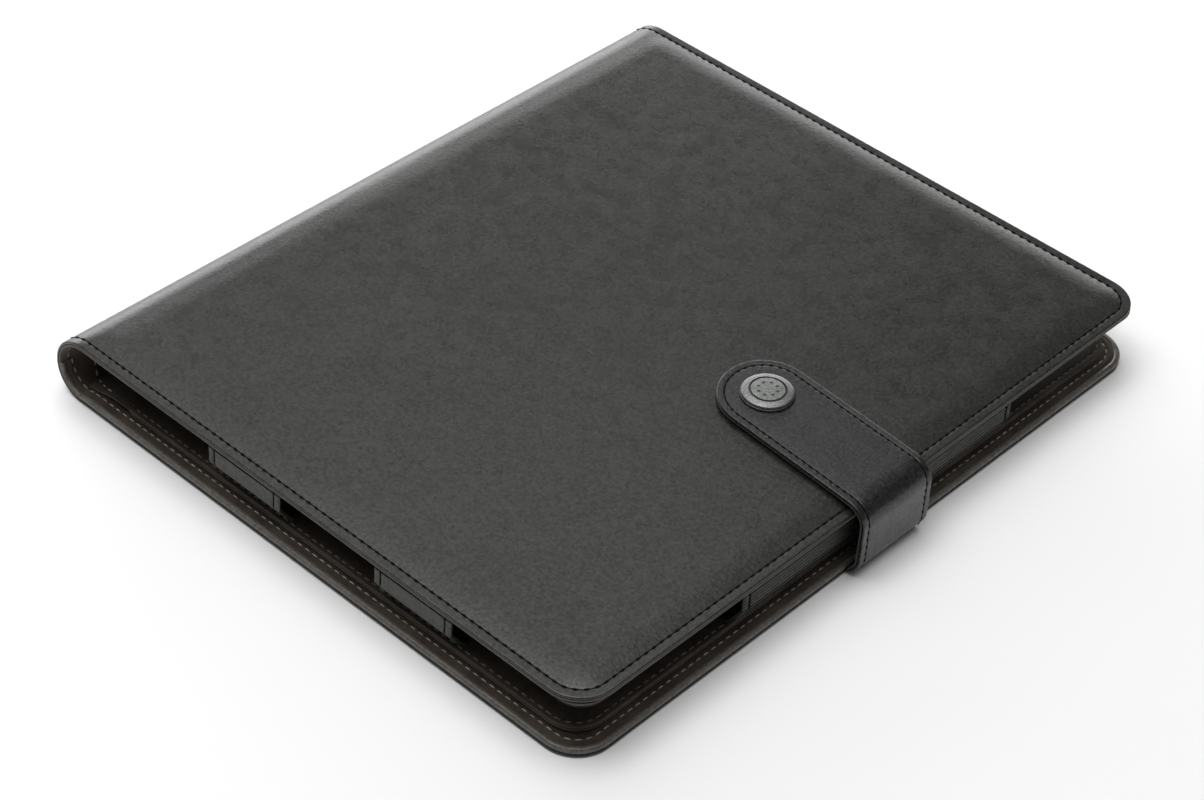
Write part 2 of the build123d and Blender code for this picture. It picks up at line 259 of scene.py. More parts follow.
def thread(name, dark, light):
    """Twisted sewing thread."""
    item, shader, place = material(name, 0.85, specular=0.12)
    strands = texture_noise(place, scale=1300, detail=3)
    colour = ramp(strands, dark, light)
    twist = item.node_tree.nodes.new("ShaderNodeTexWave")
    set_inputs(twist, {"Scale": 1400, "Distortion": 1.5})
    connect(place, "Object", twist, "Vector")
    first = bump(twist, 0.08 * MM, 0.6)
    return finished(item, shader, colour, first)


def cast_metal(name, dark, light, gloss):
    """Pewter-like cast metal with a fine speckle."""
    item, shader, place = material(name, gloss, metallic=0.85)
    speckle = texture_noise(place, scale=1900, detail=4, roughness=0.75)
    colour = ramp(speckle, dark, light, 0.38, 0.62)
    worn = texture_noise(place, scale=700, detail=3)
    gloss_map = spread(worn, gloss - 0.1, gloss + 0.12)
    connect(gloss_map, "Result", shader, "Roughness")
    first = bump(speckle, 0.09 * MM, 0.55)
    return finished(item, shader, colour, first)


def pressed_board(name, dark, light):
    """Grey fibre board or card, and the thin foam."""
    item, shader, place = material(name, 0.85, specular=0.25)
    fibres = texture_noise(place, scale=700, detail=5, roughness=0.7)
    colour = ramp(fibres, dark, light)
    first = bump(fibres, 0.2 * MM, 0.4)
    return finished(item, shader, colour, first)


BLACK = leather("black_leather", (0.0040, 0.0040, 0.0034), (0.0200, 0.0198, 0.0172), 0.28)
STRAP_BLACK = leather("strap_leather", (0.004, 0.004, 0.0038), (0.021, 0.021, 0.020), 0.28, 0.6)
TAB_GREY = leather("tab_leather", (0.014, 0.0143, 0.0125), (0.034, 0.035, 0.030), 0.5, 0.35)
# the turned edge's own grey-brown, lightened further as a painted highlight along the crest of the roll
ROLLED_EDGE_AND_HIGHLIGHT = leather("rolled_edge_and_painted_highlight", (0.070, 0.064, 0.055), (0.150, 0.138, 0.120), 0.32, 0.35)
# pressed lines: near black and barely reflecting, as painted shade in the grooves of seams and tabs
PRESSED_LINE_SHADE = leather("pressed_line_painted_shade", (0.002, 0.002, 0.002), (0.006, 0.006, 0.006), 0.7, 0.35, (0.02, 0.1))
CUT_EDGE = microfibre("cut_edge", (0.070, 0.062, 0.052), (0.115, 0.103, 0.088))
# the edge between layers, dark as painted shade in the gap between them
CORE_EDGE_SHADE = microfibre("core_edge_painted_shade", (0.016, 0.015, 0.014), (0.028, 0.026, 0.024))
BROWN = microfibre("brown_lining", (0.032, 0.023, 0.018), (0.085, 0.066, 0.052))
BLACK_THREAD = thread("black_thread", (0.001, 0.001, 0.001), (0.004, 0.004, 0.004))
LIGHT_THREAD = thread("light_thread", (0.48, 0.43, 0.35), (0.74, 0.68, 0.58))
DULL_THREAD = thread("dull_thread", (0.24, 0.21, 0.17), (0.42, 0.38, 0.32))
PEWTER = cast_metal("pewter", (0.11, 0.113, 0.11), (0.27, 0.278, 0.27), 0.42)
DARK_METAL = cast_metal("dark_metal", (0.03, 0.03, 0.03), (0.07, 0.07, 0.07), 0.45)
BOARD = pressed_board("fibre_board", (0.20, 0.18, 0.15), (0.30, 0.27, 0.23))
FOAM = pressed_board("foam", (0.25, 0.25, 0.25), (0.36, 0.36, 0.36))

# ---- routes ----


class Route:
    """Path in the X-Z plane of straight and round stretches, curving towards its inner side."""

    def __init__(self, x, z, heading, inner, stretches):
        self.inner = inner
        self.stretches = []
        length = 0.0
        for size, turn in stretches:
            run = size if turn == 0 else size * math.radians(turn)
            self.stretches.append((length, run, x, z, heading, size, turn))
            if turn == 0:
                x += run * math.cos(heading)
                z += run * math.sin(heading)
            else:
                x, z, heading = self._along_arc(x, z, heading, size, run)
            length += run
        self.length = length

    def _along_arc(self, x, z, heading, radius, run):
        side = heading + self.inner * math.pi / 2
        turned = side + self.inner * run / radius
        x += radius * (math.cos(side) - math.cos(turned))
        z += radius * (math.sin(side) - math.sin(turned))
        return x, z, heading + self.inner * run / radius

    def at(self, s):
        """Point and heading at a distance along the route."""
        for start, run, x, z, heading, size, turn in self.stretches:
            is_last = start + run >= self.length - 1e-9
            if s <= start + run or is_last:
                along = s - start
                if turn == 0:
                    return x + along * math.cos(heading), z + along * math.sin(heading), heading
                return self._along_arc(x, z, heading, size, along)
        raise ValueError("beyond the route")

    def place(self, s, w, h):
        """Point at a distance along, a distance across and a depth inwards."""
        x, z, heading = self.at(s)
        side = heading + self.inner * math.pi / 2
        return Vector((x + h * math.cos(side), w, z + h * math.sin(side)))

    def inwards(self, s):
        """Unit vector towards the inner side."""
        side = self.at(s)[2] + self.inner * math.pi / 2
        return Vector((math.cos(side), 0, math.sin(side)))


LOWER_BEND = 10.0 * MM
UPPER_BEND = 12.2 * MM
SPINE_FLAT = RIM_TOP - LOWER_BEND - UPPER_BEND
BACK_RUN = EDGE_X - (spine_left + LOWER_BEND)
FRONT_RUN = EDGE_X - (spine_left + UPPER_BEND)
COVER_STRETCHES = [(BACK_RUN, 0), (LOWER_BEND, 90), (SPINE_FLAT, 0), (UPPER_BEND, 90), (FRONT_RUN, 0)]
COVER = Route(EDGE_X, 0.0, math.pi, -1, COVER_STRETCHES)
SPINE_MIDDLE = BACK_RUN + LOWER_BEND * math.pi / 2 + SPINE_FLAT / 2

STRAP_LOWER_BEND = 7.2 * MM
STRAP_UPPER_BEND = 7.0 * MM
STRAP_RISE = STRAP_TOP - STRAP_LOWER_BEND - STRAP_UPPER_BEND
TAIL_RUN = STRAP_X - STRAP_LOWER_BEND - tail_low.x
TOP_RUN = STRAP_X - STRAP_UPPER_BEND - strap_run_low.x
STRAP_STRETCHES = [
    (TAIL_RUN, 0), (STRAP_LOWER_BEND, 90), (STRAP_RISE, 0), (STRAP_UPPER_BEND, 90), (TOP_RUN, 0)
]
STRAP = Route(tail_low.x, 0.0, 0.0, 1, STRAP_STRETCHES)
STRAP_MIDDLE = TAIL_RUN + STRAP_LOWER_BEND * math.pi / 2 + STRAP_RISE / 2
# the strap's top run lies slightly out of square, from its shoulder on
STRAP_SKEW = math.tan(math.radians(4))
STRAP_SHOULDER = strap_card_high.x


def strap_shift(x):
    """How far the strap's centre line lies along Y at a place along X."""
    return STRAP_Y + STRAP_SKEW * max(0.0, STRAP_SHOULDER - x)


# ---- meshed layers ----

# in millimetres: steps over a rounded rim, and on both sides of a mark such as a seam
RIM_STEPS = [0.0, 0.05, 0.14, 0.28, 0.45, 0.65, 1.0]
MARK_STEPS = [-0.9, -0.5, -0.22, 0.0, 0.22, 0.5, 0.9]
# the share of the rim's radius that shows the rim's material
RIM_SHARE = 0.8
CORNER_POINTS = 10
SHARP_ANGLE = math.radians(52)
# how far in the hidden face of a wide layer is meshed, and half the width of a thin line
HIDDEN_REACH = 11 * MM
LINE_HALF = 0.23 * MM


def insets(marks, reach, step):
    """Distances in from the rim: the rounded rim, close to each mark, then even steps.

    marks are in millimetres.
    """
    found = set(RIM_STEPS)
    for mark in marks:
        found |= {mark + d for d in MARK_STEPS}
    last = max(found)
    reach /= MM
    place = last + step / MM
    while place < reach:
        found.add(place)
        place += step / MM
    found.add(reach)
    return [d * MM for d in sorted(found) if d >= 0]


def side_rows(length, fine_length, fine_step, step):
    """Distances along a straight side: close together at first, where it bends, then wider."""
    rows = []
    place = 0.0
    while place < length - step * 0.6:
        rows.append(place)
        place += fine_step if place < fine_length else step
    return rows


def u_line(cut, tip, half, inset, corner, rows, end_step):
    """(s, w) points of a line inside the edge, from the cut round the free end and back.

    Also how many points lie on the first side.
    """
    way = 1 if tip > cut else -1
    side = half - inset
    radius = min(max(corner - inset, 1.2 * MM), side - 0.25 * MM)
    length = abs(tip - cut)
    run = length - inset - radius
    stretch = run / (length - corner)
    near = [(cut + way * row * stretch, -side) for row in rows]
    middle = cut + way * run
    arc = 14
    for i in range(arc):
        angle = math.pi / 2 * i / arc
        near.append((middle + way * radius * math.sin(angle), radius - side - radius * math.cos(angle)))
    count = max(2, round(2 * (half - corner) / end_step))
    top = cut + way * (run + radius)
    across = [(top, (side - radius) * (2 * i / count - 1)) for i in range(count + 1)]
    return near + across + [(s, -w) for s, w in reversed(near)], len(near)


def rolled(inset, radius):
    """How far a rounded edge has dropped, a distance in from the rim."""
    if inset >= radius:
        return 0.0
    return radius - math.sqrt(max(0.0, radius**2 - (radius - inset) ** 2))


def weave(name, rows, slots, looks, loop=False, ring=False, near=None):
    """Closed mesh through rows of points, with a material slot for each row.

    loop joins each row's ends, ring joins the last row to the first, and near is the number of side
    points of a row that runs out and back.
    """
    wide = len(rows[0])
    points = [p for row in rows for p in row]
    faces, marks = [], []
    count = len(rows)
    for r in range(count if ring else count - 1):
        a, b = r * wide, (r + 1) % count * wide
        for c in range(wide if loop else wide - 1):
            d = (c + 1) % wide
            faces.append((a + c, a + d, b + d, b + c))
            marks.append(slots[r])
    if not ring:
        for r, mark in ((0, slots[0]), (count - 1, slots[-1])):
            base = r * wide
            if near is None:
                faces.append([base + c for c in range(wide)])
                marks.append(mark)
                continue
            for c in range(near - 1):
                faces.append((base + c, base + c + 1, base + wide - 2 - c, base + wide - 1 - c))
                marks.append(mark)
            faces.append([base + c for c in range(near - 1, wide - near + 1)])
            marks.append(mark)
    if not loop:
        outline = [r * wide for r in range(count)]
        faces.append(outline + [i + wide - 1 for i in reversed(outline)])
        marks.append(slots[0])
    obj = new_mesh(name, points, faces, looks, marks)
    point_outwards(obj)
    obj.data.set_sharp_from_angle(angle=SHARP_ANGLE)
    return obj


def strip(name, route, cut, tip, half, corner, rows, end_step, outer, inner, looks, marks, rim, shown,
          step=4 * MM, shift=None, border=None, edge_faces=(0, 2), line=None):
    """Layer with one rounded free end, between two depths along a route.

    outer and inner give the depth at (s, w, inset), and looks the outer, rim, inner, border and line
    materials. border is how far the border material reaches in, and line is the distance in of a thin
    line in the shown face. Only the shown face is meshed to the middle, and edge_faces says on which
    faces, 0 outer and 2 inner, the rim material shows. shift gives the centre line's y at an x.
    """
    full = insets(marks, half - 3 * MM, step)
    short = insets((), min(HIDDEN_REACH, half / 2), step)
    faces = [
        (outer, full if shown == "outer" else short, 0, 1),
        (inner, full if shown == "inner" else short, 2, -1),
    ]
    lines, slots = [], []
    near = None
    for depth, steps, slot, sign in faces:
        order = steps[::-1] if slot == 0 else steps
        for place, inset in enumerate(order):
            flat, near = u_line(cut, tip, half, inset, corner, rows, end_step)
            drop = sign * rolled(inset, rim)
            row = []
            for s, w in flat:
                x = route.at(s)[0]
                across = w + shift(x) if shift else w
                row.append(route.place(s, across, depth(s, w, inset) + drop))
            lines.append(row)
            following = order[min(place + 1, len(order) - 1)]
            on_line = line is not None and abs((inset + following) / 2 - line) < LINE_HALF
            if on_line and len(steps) == len(full):
                slots.append(4)
            elif inset < rim * RIM_SHARE and slot in edge_faces:
                slots.append(1)
            elif border is not None and slot == 2 and inset < border:
                slots.append(3)
            else:
                slots.append(slot)
    return weave(name, lines, slots, looks, near=near)


def plate_line(area, inset, corner, z, like=None):
    """Points of a rounded rectangle a distance inside an area, at a height.

    like is the area that sets how many points there are, so that rows of one piece match.
    """
    step = 5 * MM
    x0, x1, y0, y1 = area
    like = like or area
    radius = max(corner - inset, 0.8 * MM)
    x0, x1 = x0 + inset + radius, x1 - inset - radius
    y0, y1 = y0 + inset + radius, y1 - inset - radius
    centres = [(x1, y0, -90), (x1, y1, 0), (x0, y1, 90), (x0, y0, 180)]
    counts = [max(2, round((like[3] - like[2]) / step)), max(2, round((like[1] - like[0]) / step))] * 2
    line = []
    for i, (cx, cy, angle) in enumerate(centres):
        for k in range(CORNER_POINTS):
            turn = math.radians(angle + 90 * k / (CORNER_POINTS - 1))
            line.append(around(cx, cy, radius, turn, z))
        next_x, next_y, next_angle = centres[(i + 1) % 4]
        begin = line[-1]
        finish = around(next_x, next_y, radius, math.radians(next_angle), z)
        for k in range(1, counts[i]):
            line.append(begin.lerp(finish, k / counts[i]))
    return line


def plate(name, area, corner, bottom, top, looks, rim, marks=(), profile=None):
    """Flat layer with rounded corners, of top, rim and bottom looks.

    profile changes the top's height by inset.
    """
    steps = insets(marks, 9 * MM, 1.5 * MM)
    rows, slots = [], []
    for inset in reversed(steps):
        rise = profile(inset) if profile else 0.0
        rows.append(plate_line(area, inset, corner, top - rolled(inset, rim) + rise))
        slots.append(1 if inset < rim * RIM_SHARE else 0)
    for inset in steps:
        rows.append(plate_line(area, inset, corner, bottom + rolled(inset, rim)))
        slots.append(1 if inset < rim * RIM_SHARE else 2)
    return weave(name, rows, slots, looks, loop=True)


def frame_ring(name, area, window, corner, window_corner, bottom, top, looks, rim):
    """Flat ring between an area and a window, with both edges rounded and close rows where a seam runs near
    each.
    """
    width = min(window[0] - area[0], area[1] - window[1])
    outer_side = [d for d in insets((2.0,), width / 2, 2 * MM) if d <= width / 2]
    inner_side = [width - d for d in reversed(outer_side)]
    steps = outer_side + inner_side[1:]

    def line(inset, z):
        t = inset / width
        mix = [a + (b - a) * t for a, b in zip(area, window)]
        return plate_line(mix, 0.0, corner + (window_corner - corner) * t, z, like=area)

    def drop(inset):
        return rolled(min(inset, width - inset), rim)

    rows = [line(inset, top - drop(inset)) for inset in steps]
    rows += [line(inset, bottom + drop(inset)) for inset in reversed(steps)]
    edge = [1 if min(d, width - d) < rim * RIM_SHARE else 0 for d in steps]
    slots = edge + [1 if mark == 1 else 2 for mark in reversed(edge)]
    return weave(name, rows, slots, looks, loop=True, ring=True)


# ---- seams ----

STITCH_PITCH = 3 * MM
# how much of the pitch the thread covers, and how many sides it has
STITCH_SHARE = 0.7
STITCH_SIDES = 6
# each ring of a stitch: its place along it, its thickness and its lift, both in thread radii
STITCH_RINGS = [
    (0.0, 0.30, -0.55),
    (0.14, 0.80, 0.0),
    (0.5, 1.0, 0.35),
    (0.86, 0.80, 0.0),
    (1.0, 0.30, -0.55),
]


def sew(name, points, normals, pitch, radius, look):
    """Row of stitches along a line, each a short thread that dips into the leather at both ends."""
    track = np.array(points)
    ups = np.array(normals)
    run = np.concatenate([[0.0], np.cumsum(np.linalg.norm(np.diff(track, axis=0), axis=1))])
    count = int(run[-1] / pitch)
    pitch = run[-1] / count

    def at(u, table):
        return np.array([np.interp(u, run, table[:, k]) for k in range(3)])

    verts, faces = [], []
    sides = STITCH_SIDES
    for stitch in range(count):
        begin = (stitch + (1 - STITCH_SHARE) / 2) * pitch
        for along, thick, lift in STITCH_RINGS:
            u = begin + along * STITCH_SHARE * pitch
            centre, up = at(u, track), at(u, ups)
            ahead = at(u + 0.05 * MM, track) - at(u - 0.05 * MM, track)
            ahead /= np.linalg.norm(ahead) + 1e-12
            up /= np.linalg.norm(up)
            across = np.cross(up, ahead)
            for k in range(sides):
                turn = 2 * math.pi * k / sides
                off = up * (lift + 0.8 * thick * math.cos(turn)) + across * thick * math.sin(turn)
                verts.append(centre + off * radius)
        base = stitch * sides * len(STITCH_RINGS)
        for ring_index in range(len(STITCH_RINGS) - 1):
            for k in range(sides):
                a = base + ring_index * sides
                n = (k + 1) % sides
                faces.append((a + k, a + n, a + sides + n, a + sides + k))
        faces.append([base + k for k in reversed(range(sides))])
        faces.append([base + sides * (len(STITCH_RINGS) - 1) + k for k in range(sides)])
    return new_mesh(name, verts, faces, [look])


def dense(line, step=0.7 * MM):
    """A line of (s, w) points, filled in to a short spacing."""
    out = []
    for (s0, w0), (s1, w1) in zip(line, line[1:]):
        count = max(1, math.ceil(math.hypot(s1 - s0, w1 - w0) / step))
        out += [(s0 + (s1 - s0) * i / count, w0 + (w1 - w0) * i / count) for i in range(count)]
    return out + [line[-1]]


def sew_route(name, route, cut, tip, half, corner, inset, depth, side, look, radius, pitch=STITCH_PITCH,
              shift=None, rows=None):
    """Stitches a distance inside the rim of a strip. side is 1 on its inner face and -1 on its outer."""
    rows = rows or [0.0, 0.5 * abs(tip - cut)]
    line, _ = u_line(cut, tip, half, inset, corner, rows, 5 * MM)
    points, normals = [], []
    for s, w in dense(line):
        x = route.at(s)[0]
        across = w + shift(x) if shift else w
        points.append(route.place(s, across, depth(s, w, inset)))
        normals.append(route.inwards(s) * side)
    return sew(name, points, normals, pitch, radius, look)


def sew_loop(name, area, inset, corner, z, look, radius=0.26 * MM):
    """Stitches round a flat rounded rectangle, on its upper side."""
    line = plate_line(area, inset, corner, z)
    line.append(line[0])
    return sew(name, line, [Vector((0, 0, 1))] * len(line), STITCH_PITCH, radius, look)


# ---- covers and spine ----

FRONT_SEAM = 3.0 * MM
BACK_SEAM = 4.2 * MM
# the back cover's turned edge, and the front lining's border
ROLL_WIDTH = 2.0 * MM
FRONT_BORDER = 2.4 * MM
# how far in from the rim the spine's inner seam lies at its lower and upper end
SPINE_SEAM_LOW = 6.3 * MM
SPINE_SEAM_HIGH = 12 * MM
# thread radii of the seams
BACK_STITCH = 0.24 * MM
FRONT_STITCH = 0.34 * MM
INNER_STITCH = 0.22 * MM


def groove(inset, seam, depth, width=0.5 * MM):
    """Depth of the line that a seam pulls into the leather."""
    return depth * bell(inset, seam, width)


def past_fold(s, start, length):
    """From 0 to 1 over a length, from a distance past the fold line at the spine."""
    return past(COVER.at(s)[0], FOLD_X + start, length)


def on_board(s, inset):
    """From 0 near the rim and the spine to 1 over the stiff board."""
    return past(inset, 5.2 * MM, 1.6 * MM) * past_fold(s, 3.9 * MM, 2.6 * MM)


# depths of the layers' faces, from the case's outline inwards


def back_leather_outer(s, w, inset):
    """Leather just off the ground, so that its stitches clear it."""
    lifted = (0.12 + 0.13 * past(inset, 1 * MM, 2 * MM)) * MM
    return lifted * past_fold(s, -0.3 * MM, 4 * MM) + groove(inset, BACK_SEAM, 0.15 * MM)


def back_leather_inner(s, w, inset):
    """Inner face, which makes room for the board."""
    return (1.0 + 0.2 * past_fold(s, 0.7 * MM, 4 * MM) - 0.22 * on_board(s, inset)) * MM


def back_lining_outer(s, w, inset):
    """Hidden face, over the board."""
    return (1.02 + 0.2 * past_fold(s, 0.7 * MM, 4 * MM) + 0.81 * on_board(s, inset)) * MM


def back_lining_inner(s, w, inset):
    """Visible lining: a rolled edge, a puffed border outside the seam and soft pulls near the spine."""
    x = COVER.at(s)[0]
    height = SPINE_THICK + (BACK_THICK - SPINE_THICK) * past_fold(s, 0.7 * MM, 3.5 * MM)
    if inset > ROLL_WIDTH:
        border = min(1.0, (inset - ROLL_WIDTH) / (BACK_SEAM - ROLL_WIDTH))
        puffed = 0.32 * MM * math.sin(math.pi * border)
    else:
        pressed = 0.16 * MM * bell(inset, ROLL_WIDTH, 0.2 * MM)
        puffed = 0.34 * MM * math.sin(math.pi * inset / ROLL_WIDTH) - pressed
    near_spine = bell(x, FOLD_X + 8.7 * MM, 6 * MM) * smooth(inset / (5 * MM))
    pull = 0.22 * MM * near_spine * wobble(x, w * 0.45, 3.2 * MM, 4)
    return height + puffed + pull - groove(inset, BACK_SEAM, 0.3 * MM) + 0.03 * MM * wobble(x, w, 25 * MM, 2)


def front_leather_outer(s, w, inset):
    """Padded top: flat at the seam, rising over the foam, with a long soft slope at the spine."""
    x = COVER.at(s)[0]
    on_front = past_fold(s, 0.7 * MM, 12 * MM) if s >= SPINE_MIDDLE + UPPER_BEND else 0.0
    pad = PAD_RISE * past(inset, FRONT_SEAM, 5.5 * MM) * on_front
    uneven = 0.05 * MM * wobble(x, w, 42 * MM, 7) * past(inset, 5 * MM, 12 * MM)
    return groove(inset, FRONT_SEAM, 0.1 * MM) - pad + uneven


def front_leather_inner(s, w, inset):
    """Inner face, which makes room for the board and the foam."""
    over_foam = past(inset, 7.2 * MM, 1.7 * MM) * past_fold(s, 7 * MM, 1.9 * MM)
    return (0.92 - 0.48 * on_board(s, inset) - 0.86 * over_foam) * MM


def front_lining_outer(s, w, inset):
    """Hidden face, over the board."""
    return (0.96 + 0.36 * on_board(s, inset)) * MM


def front_lining_inner(s, w, inset):
    """Visible lining, smooth but for its seam."""
    x = COVER.at(s)[0]
    return FRONT_THICK - groove(inset, FRONT_SEAM, 0.2 * MM) + 0.03 * MM * wobble(x, w, 25 * MM, 3)


def cover_layer(name, tip, outer, inner, looks, seam, rim, border, shown, edge_faces=(0, 2)):
    """Leather or lining of one cover, with its half of the spine."""
    rows = side_rows(abs(tip - SPINE_MIDDLE) - CORNER, 34 * MM, 0.9 * MM, 4.5 * MM)
    return strip(
        name, COVER, SPINE_MIDDLE, tip, HALF_LENGTH, CORNER, rows, 4.5 * MM, outer, inner, looks,
        marks=(seam / MM, ROLL_WIDTH / MM), rim=rim, border=border, shown=shown, edge_faces=edge_faces,
        line=seam,
    )


def cover_seam(name, tip, inset, depth, side, look, radius):
    """Seam of one cover and its half of the spine."""
    return sew_route(name, COVER, SPINE_MIDDLE, tip, HALF_LENGTH, CORNER, inset, depth, side, look, radius)


def spine_seam(name, end):
    """Inner seam that carries the page's seam down its leaf and up the spine's lining.

    end is -1 near and 1 far. It moves in from the rim as it climbs.
    """
    begin = BACK_RUN - 7.5 * MM
    count = 90
    points, normals = [], []
    for k in range(count + 1):
        s = begin + (SPINE_MIDDLE - 0.6 * MM - begin) * k / count
        inset = SPINE_SEAM_LOW + (SPINE_SEAM_HIGH - SPINE_SEAM_LOW) * smooth(k / count)
        w = end * (HALF_LENGTH - inset)
        place = COVER.place(s, w, back_lining_inner(s, w, inset))
        if place[0] > leaf_low.x + 0.4 * MM:
            place = Vector((place[0], w, leaf_top(place[0]) + 0.05 * MM))
        points.append(place)
        normals.append(COVER.inwards(s))
    return sew(name, points, normals, STITCH_PITCH, BACK_STITCH, LIGHT_THREAD)


def make_back_cover():
    """Leather, lining and seams of the back cover and the lower half of the spine."""
    # the leather's seam line is near black as painted shade in its groove
    leather_piece = cover_layer(
        "back_cover_leather", 0.0, back_leather_outer, back_leather_inner, [BLACK] * 4 + [PRESSED_LINE_SHADE],
        BACK_SEAM, 0.42 * MM, None, "outer",
    )
    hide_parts("back_outer", "spine_outer_1", "spine_outer_2", "spine_outer_3")
    # the lining's rolled rim and border use the rolled-edge look, which is lighter as a painted highlight on
    # the roll
    lining_piece = cover_layer(
        "back_cover_lining", 0.0, back_lining_outer, back_lining_inner,
        [BROWN, ROLLED_EDGE_AND_HIGHLIGHT, BROWN, ROLLED_EDGE_AND_HIGHLIGHT, BROWN], BACK_SEAM, 0.6 * MM, ROLL_WIDTH, "inner",
    )
    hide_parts("back_lining", "spine_lining_1", "spine_lining_2", "spine_lining_3")
    seams = [
        cover_seam("back_seam_outside", 0.0, BACK_SEAM, back_leather_outer, -1, BLACK_THREAD, BACK_STITCH),
        cover_seam("back_seam_inside", 0.0, BACK_SEAM, back_lining_inner, 1, LIGHT_THREAD, BACK_STITCH),
        spine_seam("spine_seam_near", -1),
        spine_seam("spine_seam_far", 1),
    ]
    for piece in [leather_piece, lining_piece] + seams:
        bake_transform(piece)


def make_front_cover():
    """Padded leather, lining and seams of the front cover and the upper half of the spine."""
    tip = COVER.length
    # the leather's seam line is near black as painted shade in its groove
    leather_piece = cover_layer(
        "front_cover_leather", tip, front_leather_outer, front_leather_inner, [BLACK] * 4 + [PRESSED_LINE_SHADE],
        FRONT_SEAM, 0.42 * MM, None, "outer",
    )
    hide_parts("front_outer", "spine_outer_4", "spine_outer_5")
    lining_piece = cover_layer(
        "front_cover_lining", tip, front_lining_outer, front_lining_inner,
        [BROWN, CUT_EDGE, BROWN, BROWN, BROWN], FRONT_SEAM, 0.44 * MM, FRONT_BORDER, "inner",
        edge_faces=(0,),
    )
    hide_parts("front_lining", "spine_lining_4", "spine_lining_5")
    seams = [
        cover_seam(
            "front_seam_outside", tip, FRONT_SEAM, front_leather_outer, -1, BLACK_THREAD, FRONT_STITCH
        ),
        cover_seam("front_seam_inside", tip, FRONT_SEAM, front_lining_inner, 1, DULL_THREAD, INNER_STITCH),
    ]
    for piece in [leather_piece, lining_piece] + seams:
        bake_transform(piece)


# ---- page, frame and tabs ----

PAGE_AREA = (page_low.x, page_high.x, page_low.y, page_high.y)
PAGE_SEAM = 1.5 * MM
FRAME_AREA = (frame_low.x, frame_high.x, frame_low.y, frame_high.y)
WINDOW = (-WINDOW_X, WINDOW_X, -WINDOW_Y, WINDOW_Y)
LEAF_THICK = 0.9 * MM


def leaf_top(x):
    """Height of the leaf's upper side."""
    start = leaf_low.z + 0.95 * MM
    slope = past(x, leaf_low.x, leaf_high.x - leaf_low.x + 2 * MM)
    return start + (page_high.z + 0.03 * MM - start) * slope


def leaf_ripple(x, y):
    """Small folds that run across the leaf, gone where it lies on the page."""
    over_fold = past(x, leaf_low.x, 3 * MM) * (1 - past(x, leaf_high.x - 3 * MM, 3 * MM))
    return 0.42 * MM * wobble(x * 0.6, y, 6 * MM, 9) * over_fold


def make_page():
    """Stiff stitched page under the pocket."""
    middle = (page_under + page_high.z) / 2

    def puffed(inset):
        return -groove(inset, PAGE_SEAM, 0.22 * MM)

    skin = plate(
        "page_leather", PAGE_AREA, PAGE_CORNER, page_under, middle - 0.04 * MM, [BLACK, BROWN, BROWN],
        rim=0.4 * MM,
    )
    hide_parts("page_skin")
    lining = plate(
        "page_lining_sheet", PAGE_AREA, PAGE_CORNER, middle + 0.04 * MM, page_high.z,
        [BROWN] * 3, marks=(PAGE_SEAM / MM,), rim=0.42 * MM, profile=puffed,
    )
    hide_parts("page_lining")
    seam = sew_loop(
        "page_seam", PAGE_AREA, PAGE_SEAM, PAGE_CORNER, page_high.z - 0.18 * MM, DULL_THREAD, INNER_STITCH
    )
    for piece in (skin, lining, seam):
        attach(piece, "back")


def make_page_leaf():
    """Leaf that slopes from the page down to the fold, and squares the page's corners on that side."""
    across, along = 40, 120
    reach = PAGE_CORNER + leaf_high.x
    places = [leaf_low.x + (reach - leaf_low.x) * k / across for k in range(across + 1)]
    rows = []
    for i in range(along + 1):
        y = leaf_low.y + (leaf_high.y - leaf_low.y) * i / along
        end = 1 - smooth((leaf_high.y - abs(y)) / (0.7 * MM))
        row = [Vector((x, y, leaf_top(x) + leaf_ripple(x, y) - 0.35 * MM * end)) for x in places]
        for x in reversed(places):
            low = leaf_top(x) - LEAF_THICK
            if x > leaf_high.x:
                low = max(low, page_under + 0.1 * MM)
            row.append(Vector((x, y, low + 0.25 * MM * end)))
        rows.append(row)
    piece = weave("page_leaf_sheet", rows, [0] * len(rows), [BROWN], loop=True)
    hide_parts("page_leaf")
    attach(piece, "back")


def make_frame():
    """Framed pocket front: leather over lining, sewn at both edges."""
    shape = (FRAME_AREA, WINDOW, FRAME_CORNER, WINDOW_CORNER)
    skin = frame_ring(
        "frame_cover", *shape, frame_under + 0.42 * MM, frame_high.z, [BLACK, CUT_EDGE, BLACK], 0.26 * MM
    )
    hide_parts("frame_leather")
    # its rim is dark as painted shade between the frame's layers
    lining = frame_ring(
        "frame_backing", *shape, frame_under, frame_under + 0.36 * MM, [BROWN, CORE_EDGE_SHADE, BROWN], 0.14 * MM
    )
    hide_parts("frame_lining")
    seam_height = frame_high.z + 0.02 * MM
    seams = [
        sew_loop("frame_seam", FRAME_AREA, 2.2 * MM, FRAME_CORNER, seam_height, BLACK_THREAD),
        sew_loop("window_seam", WINDOW, -2.0 * MM, WINDOW_CORNER, seam_height, BLACK_THREAD),
    ]
    for piece in [skin, lining] + seams:
        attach(piece, "back")


# how far out from the middle each tab's foot reaches on the page
SHORT_TAB_FOOT = 117.3 * MM
LONG_TAB_FOOT = 91.5 * MM
TAB_WALL = 0.9 * MM
# in millimetres from a tab's end: its pressed line, and the steps close to the end
TAB_LINE = 2.4
TAB_STEPS = {0.0, 0.1, 0.35, 0.8} | {TAB_LINE + d for d in (-0.5, -0.25, 0.0, 0.25, 0.5)}


